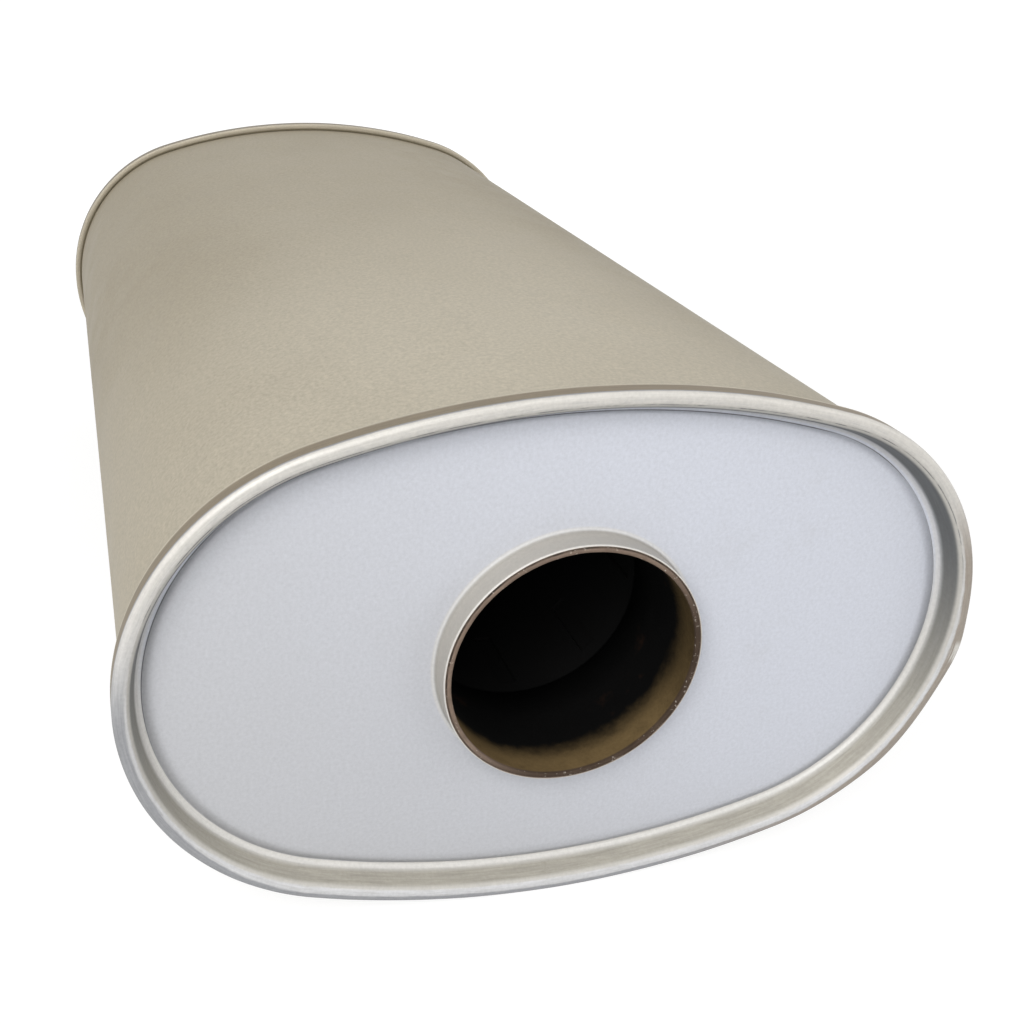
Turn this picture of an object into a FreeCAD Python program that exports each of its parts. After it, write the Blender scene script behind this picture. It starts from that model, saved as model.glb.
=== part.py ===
import FreeCAD, Part
import math
import os

import Sketcher
from FreeCAD import Placement, Rotation, Vector

# Oval silencer lying on its flat side: X across, Y along the gas flow, Z up.
# The origin is the middle of the body on the pipe axis.
# The inlet end faces -Y. Every length is in millimetres.

document = FreeCAD.newDocument("Muffler")

# Driving dimensions
SIZES = {
    # Oval outline over the end seams, and the length from crest to crest
    "rim_width": 356.6,
    "rim_height": 228.6,
    "rim_long_radius": 364.3,
    "rim_length": 598,
    # Sheet of the shell and the end caps, and the folded seam that joins them
    "sheet_thick": 1.4,
    "seam_gap": 0.05,
    "seam_depth": 9.5,
    "hook_gap": 0.5,
    "crest_outer_radius": 2,
    "crest_flat": 1.1,
    # Dished face of an end cap, and the collar drawn thin out of its middle
    "wall_angle": 14,
    "panel_depth": 11.4,
    "tool_step": 0.4,
    "band_width": 0.2,
    "panel_lip": 2,
    "base_fillet": 2.2,
    "collar_wall": 0.9,
    "collar_fillet": 2,
    # Lengthwise weld of the shell
    "weld_width": 6,
    "weld_height": 0.8,
    "weld_root": 1,
    "weld_end_gap": 1,
    # Connecting necks
    "neck_bore": 102,
    "neck_wall": 2,
    "neck_length": 60,
    "neck_proud": 0.4,
    "fit_gap": 0.05,
    # Gas tubes with their slots, their plugs and the sleeve that joins them
    "tube_wall": 1.5,
    "tube_gap": 0.8,
    "tube_end_gap": 6,
    "gas_slot_width": 12,
    "gas_slot_length": 75,
    "gas_slot_start": 150,
    "wool_slot_width": 8,
    "wool_slot_length": 40,
    "wool_slot_start": 70,
    "plug_thick": 1.5,
    "plug_depth": 14,
    "sleeve_length": 70,
    "sleeve_wall": 1.6,
    # Baffles
    "baffle_thick": 1.5,
    "baffle_gap": 0.1,
    "baffle_flange": 14,
    "baffle_place": 120,
    "baffle_collar": 9,
    # Transfer tubes in the middle baffle
    "transfer_bore": 50,
    "transfer_wall": 1.5,
    "transfer_length": 120,
    "transfer_margin": 78,
    "transfer_rise": 76,
    # Wool packed round the gas tubes in the end chambers
    "wool_gap": 0.3,
    "wrap_thick": 6,
}
GAS_SLOTS = 10
WOOL_SLOTS = 8

sheet = document.addObject("Spreadsheet::Sheet", "Sizes")
for row, (alias, number) in enumerate(SIZES.items(), start=1):
    sheet.set(f"A{row}", alias)
    sheet.set(f"B{row}", str(number))
    sheet.setAlias(f"B{row}", alias)
document.recompute()


class Size:
    """A length worked out from the sheet: its number, and the formula that gives it."""

    def __init__(self, number, formula):
        self.number = float(number)
        self.formula = formula

    @staticmethod
    def of(value):
        return value if isinstance(value, Size) else Size(value, repr(value))

    def __add__(self, other):
        other = Size.of(other)
        return Size(self.number + other.number, f"({self.formula} + {other.formula})")

    def __radd__(self, other):
        return Size.of(other) + self

    def __sub__(self, other):
        other = Size.of(other)
        return Size(self.number - other.number, f"({self.formula} - {other.formula})")

    def __rsub__(self, other):
        return Size.of(other) - self

    def __mul__(self, other):
        other = Size.of(other)
        return Size(self.number * other.number, f"({self.formula} * {other.formula})")

    def __rmul__(self, other):
        return Size.of(other) * self

    def __truediv__(self, other):
        other = Size.of(other)
        return Size(self.number / other.number, f"({self.formula} / {other.formula})")

    def __neg__(self):
        return Size(0, "0") - self


def size(alias):
    return Size(sheet.get(alias), f"Sizes.{alias}")


def bind(item, settings):
    """Tie properties of an object to the sheet, and set them to the same numbers."""
    for name, value in settings.items():
        item.setExpression(name, Size.of(value).formula)


# The four-arc oval of the rim: two long arcs above and below, and two end arcs tangent to them
half_width, half_height = size("rim_width") / 2, size("rim_height") / 2
long_radius = size("rim_long_radius")
long_centre = long_radius - half_height
end_radius = (
    (long_radius * long_radius - long_centre * long_centre - half_width * half_width)
    / (2 * (long_radius - half_width))
)
end_centre = half_width - end_radius
joint_across = end_centre / (long_radius - end_radius)
joint_up = long_centre / (long_radius - end_radius)

# The seam's layers from outside in: hem of the cap, hook of the shell, hook of the cap,
# wall of the shell, wall of the cap
sheet_thick = size("sheet_thick")
layer = sheet_thick + size("seam_gap")
shell_hook_inset = layer
cap_hook_inset = shell_hook_inset + layer
shell_outer_inset = cap_hook_inset + layer
cap_wall_inset = shell_outer_inset + layer
seam_thick = cap_wall_inset + sheet_thick
crest_inner_radius = seam_thick - size("crest_outer_radius") - size("crest_flat")
shell_inner_inset = shell_outer_inset + sheet_thick

# Other sizes shared by pieces that fit each other
half_length = size("rim_length") / 2
cap_back_depth = size("panel_depth") + size("tool_step") + sheet_thick
tube_start = cap_back_depth + size("tube_gap")
neck_radius = size("neck_bore") / 2 + size("neck_wall")
collar_radius = neck_radius + size("fit_gap") + size("collar_wall")
tube_radius = neck_radius + size("fit_gap") + size("tube_wall")
sleeve_radius = tube_radius + size("fit_gap") + size("sleeve_wall")
wrap_radius = tube_radius + size("fit_gap") + size("wrap_thick")
wool_bore_radius = wrap_radius + size("wool_gap")
transfer_radius = size("transfer_bore") / 2 + size("transfer_wall")

# The transfer tubes stand at the corners of a rectangle about the pipe axis
half_spread, half_rise = half_width - size("transfer_margin"), size("transfer_rise") / 2
TRANSFER_PLACES = {
    "upper_left_transfer_tube": (-half_spread, half_rise),
    "upper_right_transfer_tube": (half_spread, half_rise),
    "lower_left_transfer_tube": (-half_spread, -half_rise),
    "lower_right_transfer_tube": (half_spread, -half_rise),
}

ORIGIN_ID, LEVEL_AXIS_ID, VERTICAL_AXIS_ID = -1, -1, -2
ALONG = Vector(0, 1, 0)
FACING_INLET = Rotation(Vector(1, 0, 0), 90)
INSET_DOWN = Rotation(ALONG, 90)
RADIUS_UP = Rotation(ALONG, -90)
FACING_DOWN = Rotation(Vector(1, 0, 0), -90)
HALF_TURN = Rotation(Vector(0, 0, 1), 180)


def measure(sketch, value, kind, *places):
    """A dimension of a sketch, tied to the sheet."""
    index = sketch.addConstraint(Sketcher.Constraint(kind, *places, value.number))
    sketch.setExpression(f"Constraints[{index}]", value.formula)


def hold_point(sketch, value, kind, axis, *point):
    """One coordinate of a point: on the axis where it is nought, else at its distance from it."""
    if value.number:
        measure(sketch, value, kind, ORIGIN_ID, 1, *point)
    else:
        sketch.addConstraint(Sketcher.Constraint("PointOnObject", *point, axis))


class Bend:
    """An arc that ends an outline's stretch: its centre, radius and angles in degrees."""

    def __init__(self, end, centre, radius, first_angle, last_angle):
        self.end = end
        self.centre = centre
        self.radius = radius
        self.first_angle = first_angle
        self.last_angle = last_angle


def draw_outline(sketch, start, stretches):
    """A closed outline of lines and bends from station to station, each held at its place."""
    here, last = start, None
    for number, stretch in enumerate(stretches, start=1):
        bend = stretch if isinstance(stretch, Bend) else None
        there = bend.end if bend else stretch
        if bend:
            low, high = sorted(map(math.radians, (bend.first_angle, bend.last_angle)))
            centre = Vector(bend.centre[0].number, bend.centre[1].number, 0)
            circle = Part.Circle(centre, Vector(0, 0, 1), bend.radius.number)
            geometry = sketch.addGeometry(Part.ArcOfCircle(circle, low, high))
            ends = (1, 2) if bend.last_angle > bend.first_angle else (2, 1)
            measure(sketch, bend.radius, "Radius", geometry)
        else:
            line = Part.LineSegment(
                Vector(here[0].number, here[1].number, 0), Vector(there[0].number, there[1].number, 0)
            )
            geometry = sketch.addGeometry(line)
            ends = (1, 2)
        if last:
            sketch.addConstraint(Sketcher.Constraint("Coincident", *last, geometry, ends[0]))
        else:
            opening = (geometry, ends[0])
            hold_point(sketch, start[0], "DistanceX", VERTICAL_AXIS_ID, *opening)
            hold_point(sketch, start[1], "DistanceY", LEVEL_AXIS_ID, *opening)
        last = (geometry, ends[1])
        if number == len(stretches):
            sketch.addConstraint(Sketcher.Constraint("Coincident", *last, *opening))
        else:
            hold_point(sketch, there[0], "DistanceX", VERTICAL_AXIS_ID, *last)
            hold_point(sketch, there[1], "DistanceY", LEVEL_AXIS_ID, *last)
        here = there


def free_sketch(name, rotation, base=None):
    """A sketch with its own placement. Base gives the tied coordinates of its origin."""
    sketch = document.addObject("Sketcher::SketchObject", name)
    sketch.Placement = Placement(Vector(), rotation)
    bind(sketch, {f"Placement.Base.{axis}": value for axis, value in (base or {}).items()})
    return sketch


def body_sketch(body, name, plane, offset=None):
    """A sketch on one of a body's own planes, moved along that plane's normal."""
    features = body.Origin.OriginFeatures
    support = next(item for item in features if item.Role == plane)
    sketch = body.newObject("Sketcher::SketchObject", name)
    sketch.AttachmentSupport = [(support, "")]
    sketch.MapMode = "FlatFace"
    if offset is not None:
        bind(sketch, {"AttachmentOffset.Base.z": offset})
    return sketch


def draw_circle(sketch, radius, across=None, up=None):
    """A circle about a point of the sketch, its origin where none is given."""
    across, up = Size.of(across or 0), Size.of(up or 0)
    centre = Vector(across.number, up.number, 0)
    geometry = sketch.addGeometry(Part.Circle(centre, Vector(0, 0, 1), radius.number))
    hold_point(sketch, across, "DistanceX", VERTICAL_AXIS_ID, geometry, 3)
    hold_point(sketch, up, "DistanceY", LEVEL_AXIS_ID, geometry, 3)
    measure(sketch, radius, "Radius", geometry)


def draw_oval(sketch, inset):
    """The outline of the rim drawn smaller by an inset: six arcs, the first from the top middle."""
    top = half_height - inset
    across = end_centre + (end_radius - inset) * joint_across
    up = (end_radius - inset) * joint_up
    end, long = end_radius - inset, long_radius - inset
    turn = math.atan2(long_centre.number, end_centre.number)
    drop, reach = long_centre.number, end_centre.number
    arcs = [
        (0, -drop, long.number, math.pi / 2, math.pi - turn),
        (-reach, 0, end.number, math.pi - turn, math.pi + turn),
        (0, drop, long.number, math.pi + turn, 3 * math.pi / 2),
        (0, drop, long.number, -math.pi / 2, -turn),
        (reach, 0, end.number, -turn, turn),
        (0, -drop, long.number, turn, math.pi / 2),
    ]
    first = sketch.GeometryCount
    for centre_across, centre_up, radius, low, high in arcs:
        circle = Part.Circle(Vector(centre_across, centre_up, 0), Vector(0, 0, 1), radius)
        sketch.addGeometry(Part.ArcOfCircle(circle, low, high))
    top_left, left, low_left, low_right, right, top_right = range(first, first + len(arcs))
    rules = [
        ("Coincident", top_right, 1, right, 2),
        ("Coincident", right, 1, low_right, 2),
        ("Coincident", low_right, 1, low_left, 2),
        ("Coincident", low_left, 1, left, 2),
        ("Coincident", left, 1, top_left, 2),
        ("Coincident", top_left, 1, top_right, 2),
        ("PointOnObject", top_right, 2, VERTICAL_AXIS_ID),
        ("Symmetric", top_right, 2, low_right, 1, ORIGIN_ID, 1),
        ("Symmetric", right, 2, right, 1, LEVEL_AXIS_ID),
        ("Symmetric", right, 2, left, 2, ORIGIN_ID, 1),
        ("Symmetric", right, 1, left, 1, ORIGIN_ID, 1),
        ("Equal", right, left),
        ("Equal", top_right, top_left),
        ("Equal", top_right, low_right),
        ("Equal", top_right, low_left),
    ]
    for rule in rules:
        sketch.addConstraint(Sketcher.Constraint(*rule))
    measure(sketch, top, "DistanceY", ORIGIN_ID, 1, top_right, 2)
    measure(sketch, across, "DistanceX", ORIGIN_ID, 1, right, 2)
    measure(sketch, up, "DistanceY", ORIGIN_ID, 1, right, 2)
    measure(sketch, end, "Radius", right)
    measure(sketch, long, "Radius", top_right)


def swept(name, section):
    """A closed section carried round the oval outline of the rim."""
    spine = free_sketch(f"{name}_outline", FACING_INLET)
    draw_oval(spine, Size.of(0))
    document.recompute()
    ring = document.addObject("Part::Sweep", name)
    ring.Sections = [section]
    ring.Spine = (spine, [f"Edge{number + 1}" for number in range(len(spine.Shape.Edges))])
    ring.Solid = True
    ring.Frenet = False
    return ring


def revolved(name, section):
    """A closed section turned about the pipe axis."""
    ring = document.addObject("Part::Revolution", name)
    ring.Source = section
    ring.Axis = ALONG
    ring.Angle = 360
    ring.Solid = True
    return ring


def extruded(name, sketch, length):
    """A flat outline given a thickness along the silencer."""
    plate = document.addObject("Part::Extrusion", name)
    plate.Base = sketch
    plate.DirMode = "Custom"
    plate.Dir = ALONG
    plate.Solid = True
    bind(plate, {"LengthFwd": length})
    return plate


def fused(name, pieces):
    """One piece of metal from stretches that run into each other."""
    whole = document.addObject("Part::MultiFuse", name)
    whole.Shapes = pieces
    whole.Refine = True
    return whole


def new_body(name):
    return document.addObject("PartDesign::Body", name)


def pad(body, name, start, length, draw):
    """Material from a start, a distance along the silencer, over a length."""
    sketch = body_sketch(body, f"{name}_sketch", "XZ_Plane", -start)
    draw(sketch)
    feature = body.newObject("PartDesign::Pad", name)
    feature.Profile = sketch
    feature.Reversed = True
    bind(feature, {"Length": length})


def pocket(body, name, start, length, draw):
    """Material taken away from a start, a distance along the silencer, over a length."""
    sketch = body_sketch(body, f"{name}_sketch", "XZ_Plane", -start)
    draw(sketch)
    feature = body.newObject("PartDesign::Pocket", name)
    feature.Profile = sketch
    bind(feature, {"Length": length})


def tube(name, start, length, bore_radius, outer_radius):
    """A plain round tube as a body of its own."""
    body = new_body(name)

    def ring(sketch):
        draw_circle(sketch, outer_radius)
        draw_circle(sketch, bore_radius)

    pad(body, f"{name}_wall", start, length, ring)
    return body


def set_at_end(item, outlet):
    """Put a piece, drawn from the crest of a seam inwards, at the inlet or the outlet end."""
    item.Placement = Placement(Vector(), HALF_TURN if outlet else Rotation())
    bind(item, {"Placement.Base.y": half_length if outlet else -half_length})
    return item


def make_shell(name):
    """The wrapped skin: each end is folded out and back into a hook, and a weld closes it."""
    hook, hook_back = shell_hook_inset, shell_hook_inset + sheet_thick
    face, back = shell_outer_inset, shell_inner_inset
    fold = crest_inner_radius + sheet_thick
    hook_end = size("seam_depth") - sheet_thick - size("hook_gap")
    length = size("rim_length")
    stations = [
        (hook, crest_inner_radius),
        (back, crest_inner_radius),
        (back, length - crest_inner_radius),
        (hook, length - crest_inner_radius),
        (hook, length - hook_end),
        (hook_back, length - hook_end),
        (hook_back, length - fold),
        (face, length - fold),
        (face, fold),
        (hook_back, fold),
        (hook_back, hook_end),
        (hook, hook_end),
    ]
    sketch = free_sketch(f"{name}_sketch", INSET_DOWN, {"y": -half_length, "z": half_height})
    draw_outline(sketch, stations[-1], stations)
    wrap = swept(f"{name}_wrap", sketch)

    weld_start = size("seam_depth") + size("weld_end_gap")
    surface = half_height - shell_outer_inset
    root, half_bead = surface - size("weld_root"), size("weld_width") / 2
    bulge = size("weld_root") + size("weld_height")
    radius = (bulge * bulge + half_bead * half_bead) / (2 * bulge)
    turn = math.degrees(math.asin(half_bead.number / radius.number))
    weld_sketch = free_sketch(f"{name}_weld_sketch", FACING_DOWN, {"y": weld_start - half_length})
    centre = (Size.of(0), surface + size("weld_height") - radius)
    left, right = (-half_bead, root), (half_bead, root)
    bead = Bend(left, centre, radius, 90 - turn, 90 + turn)
    draw_outline(weld_sketch, left, [right, bead])
    weld = extruded(f"{name}_weld", weld_sketch, length - 2 * weld_start)
    return fused(name, [wrap, weld])


def make_cap(name, outlet):
    """An end cap pressed from one sheet: neck collar, dished face, crest, and folded hem."""
    angle = math.radians(SIZES["wall_angle"])
    lean = Size(math.sin(angle), "sin(Sizes.wall_angle)")
    rise = Size(math.cos(angle), "cos(Sizes.wall_angle)")
    zero = Size.of(0)
    panel, panel_back = size("panel_depth"), size("panel_depth") + sheet_thick
    floor = panel + size("tool_step")
    fillet = size("base_fillet")
    outer, inner = size("crest_outer_radius"), crest_inner_radius
    inner_centre = (seam_thick - inner, inner)
    wall_run = (floor - fillet - inner + (inner + fillet) * lean) / rise
    fillet_centre = (
        inner_centre[0] + (inner + fillet) * rise + wall_run * lean,
        floor - fillet,
    )
    step_foot = fillet_centre[0] + size("band_width")
    step_head = step_foot + size("tool_step")
    panel_inset = step_head + size("panel_lip")
    wall_foot = (fillet_centre[0] - fillet * rise, fillet_centre[1] + fillet * lean)
    wall_top = (inner_centre[0] + inner * rise, inner - inner * lean)
    turn = SIZES["wall_angle"]

    # The hidden back of the crest is flat across its corners
    bend = inner - sheet_thick
    wall_top_back = (inner_centre[0] + bend * rise, inner - bend * lean)
    foot_drop = floor + sheet_thick - wall_top_back[1]
    wall_foot_back = (wall_top_back[0] + foot_drop * lean / rise, floor + sheet_thick)
    hem, hem_back, chamfer = size("seam_depth"), size("seam_depth") - sheet_thick, sheet_thick / 2
    hook, hook_back = cap_hook_inset, cap_hook_inset + sheet_thick
    hook_end = crest_inner_radius + sheet_thick + size("hook_gap")
    start = (panel_inset, panel)
    stretches = [
        (step_head, panel),
        (step_foot, floor),
        (fillet_centre[0], floor),
        Bend(wall_foot, fillet_centre, fillet, 90, 180 - turn),
        wall_top,
        Bend((inner_centre[0], zero), inner_centre, inner, -turn, -90),
        (outer, zero),
        Bend((zero, outer), (outer, outer), outer, -90, -180),
        (zero, hem - chamfer),
        (chamfer, hem),
        (hook_back, hem),
        (hook_back, hook_end),
        (hook, hook_end),
        (hook, hem_back),
        (sheet_thick, hem_back),
        (sheet_thick, outer),
        (outer, sheet_thick),
        (inner_centre[0], sheet_thick),
        wall_top_back,
        wall_foot_back,
        (panel_inset, panel_back),
        start,
    ]
    sketch = free_sketch(f"{name}_rim_sketch", INSET_DOWN, {"z": half_height})
    draw_outline(sketch, start, stretches)
    rim = swept(f"{name}_rim", sketch)

    # The collar is turned up from the panel and grips the neck
    bore = neck_radius + size("fit_gap")
    collar_bend = size("collar_fillet")
    bend_centre = (collar_radius + collar_bend, panel - collar_bend)
    foot = bend_centre[0] + size("panel_lip")
    root = (foot, panel_back)
    collar_stretches = [
        (foot, panel),
        (bend_centre[0], panel),
        Bend((collar_radius, bend_centre[1]), bend_centre, collar_bend, 90, 180),
        (collar_radius, zero),
        (bore, zero),
        (bore, panel_back - collar_bend),
        (bore + collar_bend, panel_back),
        root,
    ]
    collar_sketch = free_sketch(f"{name}_collar_sketch", RADIUS_UP)
    draw_outline(collar_sketch, root, collar_stretches)
    collar = revolved(f"{name}_collar", collar_sketch)

    plate_sketch = free_sketch(f"{name}_panel_sketch", FACING_INLET, {"y": panel})
    draw_oval(plate_sketch, panel_inset - size("panel_lip") / 2)
    draw_circle(plate_sketch, foot - size("panel_lip") / 2)
    plate = extruded(f"{name}_panel", plate_sketch, sheet_thick)
    return set_at_end(fused(name, [rim, collar, plate]), outlet)


def make_gas_tube(name, outlet):
    """A tube from the neck to the middle, with a row of slots in each of its two chambers."""
    length = half_length - size("tube_end_gap") / 2 - tube_start
    bore = tube_radius - size("tube_wall")
    body = tube(name, tube_start, length, bore, tube_radius)
    document.recompute()
    for row, count in (("gas", GAS_SLOTS), ("wool", WOOL_SLOTS)):
        half_slot = size(f"{row}_slot_width") / 2
        near = size(f"{row}_slot_start")
        far = near + size(f"{row}_slot_length")
        corners = [(half_slot, near), (half_slot, far), (-half_slot, far), (-half_slot, near)]
        sketch = body_sketch(body, f"{name}_{row}_slot_sketch", "XY_Plane")
        draw_outline(sketch, corners[-1], corners)
        slot = body.newObject("PartDesign::Pocket", f"{name}_{row}_slot")
        slot.Profile = sketch
        slot.Reversed = True
        bind(slot, {"Length": tube_radius + size("tube_wall")})
        document.recompute()
        axis = next(item for item in body.Origin.OriginFeatures if item.Role == "Y_Axis")
        pattern = body.newObject("PartDesign::PolarPattern", f"{name}_{row}_slots")
        pattern.Originals = [slot]
        pattern.Axis = (axis, [""])
        pattern.Angle = 360
        pattern.Occurrences = count
        body.Tip = pattern
        document.recompute()
    return set_at_end(body, outlet)


def make_plug(name, outlet):
    """A cup pressed into the inner end of a gas tube, its closed face to the gas."""
    body = new_body(name)
    outer = tube_radius - size("tube_wall") - size("fit_gap")
    depth, thick = size("plug_depth"), size("plug_thick")
    start = half_length - size("tube_end_gap") / 2 - depth
    pad(body, f"{name}_cup", start, depth, lambda sketch: draw_circle(sketch, outer))
    document.recompute()
    inner = outer - thick
    pocket(body, f"{name}_hollow", start + thick, depth - thick, lambda k: draw_circle(k, inner))
    return set_at_end(body, outlet)


def make_baffle(name, bores):
    """A dished oval plate with a flange against the shell, and a collar round each bore."""
    body = new_body(name)
    rim = shell_inner_inset + size("baffle_gap")
    thick, flange = size("baffle_thick"), size("baffle_flange")
    start = -thick / 2

    def circles(wall):
        def draw(sketch):
            for across, up, radius in bores:
                draw_circle(sketch, radius + wall, across, up)

        return draw

    pad(body, f"{name}_blank", start, flange, lambda sketch: draw_oval(sketch, rim))
    document.recompute()
    inner = rim + thick
    pocket(body, f"{name}_dish", start + thick, flange, lambda sketch: draw_oval(sketch, inner))
    document.recompute()
    pad(body, f"{name}_collars", start, size("baffle_collar"), circles(thick))
    document.recompute()
    pocket(body, f"{name}_bores", start, flange, circles(0))
    return body


def make_end_baffle(name, outlet):
    """A baffle between an end chamber and the middle, its flange towards the middle."""
    baffle = make_baffle(name, [(0, 0, tube_radius + size("fit_gap"))])
    place = half_length - size("baffle_place") - size("baffle_thick") / 2
    baffle.Placement = Placement(Vector(), HALF_TURN if outlet else Rotation())
    bind(baffle, {"Placement.Base.y": place if outlet else -place})
    return baffle


def make_centre_baffle(name):
    """The middle baffle, which carries the sleeve and the four transfer tubes."""
    bores = [(0, 0, sleeve_radius + size("fit_gap"))]
    for across, up in TRANSFER_PLACES.values():
        bores.append((across, up, transfer_radius + size("fit_gap")))
    return make_baffle(name, bores)


def make_transfer_tube(name, across, up):
    """A short tube that takes the gas through the middle baffle."""
    length = size("transfer_length")
    body = tube(name, -length / 2, length, size("transfer_bore") / 2, transfer_radius)
    bind(body, {"Placement.Base.x": across, "Placement.Base.z": up})
    return body


def make_neck(name, outlet):
    """The short pipe in the collar, which takes the mating pipe inside it."""
    bore = size("neck_bore") / 2
    body = tube(name, -size("neck_proud"), size("neck_length"), bore, neck_radius)
    return set_at_end(body, outlet)


def make_wrap(name, outlet):
    """A sleeve of wire wool round the slots of a gas tube, inside the end chamber."""
    start = tube_start + size("wool_gap")
    length = size("baffle_place") - size("wool_gap") - start
    body = tube(name, start, length, tube_radius + size("fit_gap"), wrap_radius)
    return set_at_end(body, outlet)


def make_wool(name, outlet):
    """A block of wool that fills an end chamber round the wrapped gas tube."""
    body = new_body(name)
    start = cap_back_depth + size("wool_gap")
    length = size("baffle_place") - size("wool_gap") - start
    rim = shell_inner_inset + size("wool_gap")
    pad(body, f"{name}_block", start, length, lambda sketch: draw_oval(sketch, rim))
    document.recompute()
    pocket(body, f"{name}_bore", start, length, lambda k: draw_circle(k, wool_bore_radius))
    return set_at_end(body, outlet)


def check(pieces):
    """Stop if an object failed, or if a piece is not one sound solid."""
    for item in document.Objects:
        if "Invalid" in item.State or "Error" in item.State:
            raise RuntimeError(f"{item.Name} did not build: {item.State}")
    for piece in pieces:
        shape = piece.Shape
        if shape.isNull() or not shape.isValid() or len(shape.Solids) != 1:
            raise RuntimeError(f"{piece.Name} is not one sound solid")


sleeve_length = size("sleeve_length")
sleeve_bore = tube_radius + size("fit_gap")
pieces = [
    make_shell("shell"),
    make_centre_baffle("centre_baffle"),
    tube("centre_sleeve", -sleeve_length / 2, sleeve_length, sleeve_bore, sleeve_radius),
]
for name, (across, up) in TRANSFER_PLACES.items():
    pieces.append(make_transfer_tube(name, across, up))
for end, outlet in (("inlet", False), ("outlet", True)):
    pieces.append(make_cap(f"{end}_cap", outlet))
    pieces.append(make_neck(f"{end}_neck", outlet))
    pieces.append(make_gas_tube(f"{end}_gas_tube", outlet))
    pieces.append(make_plug(f"{end}_tube_plug", outlet))
    pieces.append(make_end_baffle(f"{end}_baffle", outlet))
    pieces.append(make_wrap(f"{end}_wire_wool_wrap", outlet))
    pieces.append(make_wool(f"{end}_wool_pack", outlet))
document.recompute()
check(pieces)

os.makedirs("parts", exist_ok=True)
for piece in pieces:
    piece.Label = piece.Name
    piece.Shape.exportStep(f"parts/{piece.Label}.step")
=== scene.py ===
"""Looks of an oval exhaust muffler that lies on its flat side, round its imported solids."""

import logging
import math
from collections.abc import Iterable, Sequence
from dataclasses import dataclass, field
from enum import Enum

import bpy
import numpy as np
from mathutils import Matrix, Vector

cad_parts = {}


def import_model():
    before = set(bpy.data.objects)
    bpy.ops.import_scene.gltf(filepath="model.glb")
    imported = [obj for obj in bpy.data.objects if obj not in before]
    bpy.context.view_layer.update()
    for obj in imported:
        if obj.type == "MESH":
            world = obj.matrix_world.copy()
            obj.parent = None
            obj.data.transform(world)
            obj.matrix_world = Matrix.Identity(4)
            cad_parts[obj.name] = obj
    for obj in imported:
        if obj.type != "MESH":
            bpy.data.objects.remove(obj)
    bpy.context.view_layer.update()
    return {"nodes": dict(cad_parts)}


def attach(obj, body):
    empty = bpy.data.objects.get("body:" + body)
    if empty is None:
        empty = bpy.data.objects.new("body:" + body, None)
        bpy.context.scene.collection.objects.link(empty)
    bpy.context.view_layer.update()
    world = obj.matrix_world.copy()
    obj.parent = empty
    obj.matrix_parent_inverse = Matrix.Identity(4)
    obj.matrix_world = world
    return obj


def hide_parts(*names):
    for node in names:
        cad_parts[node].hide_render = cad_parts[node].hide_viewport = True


LOG = logging.getLogger("muffler")
MM = 0.001
BODY = "root"
MIRRORED_RAYS = ("Is Glossy Ray", "Is Transmission Ray")
FRAME_PIXELS = 1024
Colour = tuple[float, float, float]
Plane = tuple[float, float]
Number = "Signal | float"
Item = bpy.types.Object
Material = bpy.types.Material
Socket = bpy.types.NodeSocket
WHITE: Colour = (1.0, 1.0, 1.0)


class End(Enum):
    """The two ends of the muffler, by the side of the origin on which each lies."""

    INLET = -1
    OUTLET = 1

    @property
    def word(self) -> str:
        """The word with which the names of this end's pieces start."""
        return self.name.lower()

    def place(self, points: np.ndarray) -> np.ndarray:
        """Put points, drawn with Y as the depth behind the crest, at this end.

        Args:
            points: Rows of X, depth and Z, in metres.

        Returns:
            The same rows in the frame of the muffler.
        """
        moved = points.copy()
        moved[:, 1] = points[:, 1] - HALF_LENGTH
        if self is End.OUTLET:
            moved[:, :2] = -moved[:, :2]
        return moved


HALF_LENGTH = 299 * MM
NECK_PROUD = 0.4 * MM


def show(name: str, data: bpy.types.ID) -> Item:
    """Put data in the scene as an object.

    Args:
        name: Name of the object.
        data: Its mesh, curve, lamp or camera.

    Returns:
        The object.
    """
    item = bpy.data.objects.new(name, data)
    bpy.context.scene.collection.objects.link(item)
    return item


# Shader building


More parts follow.
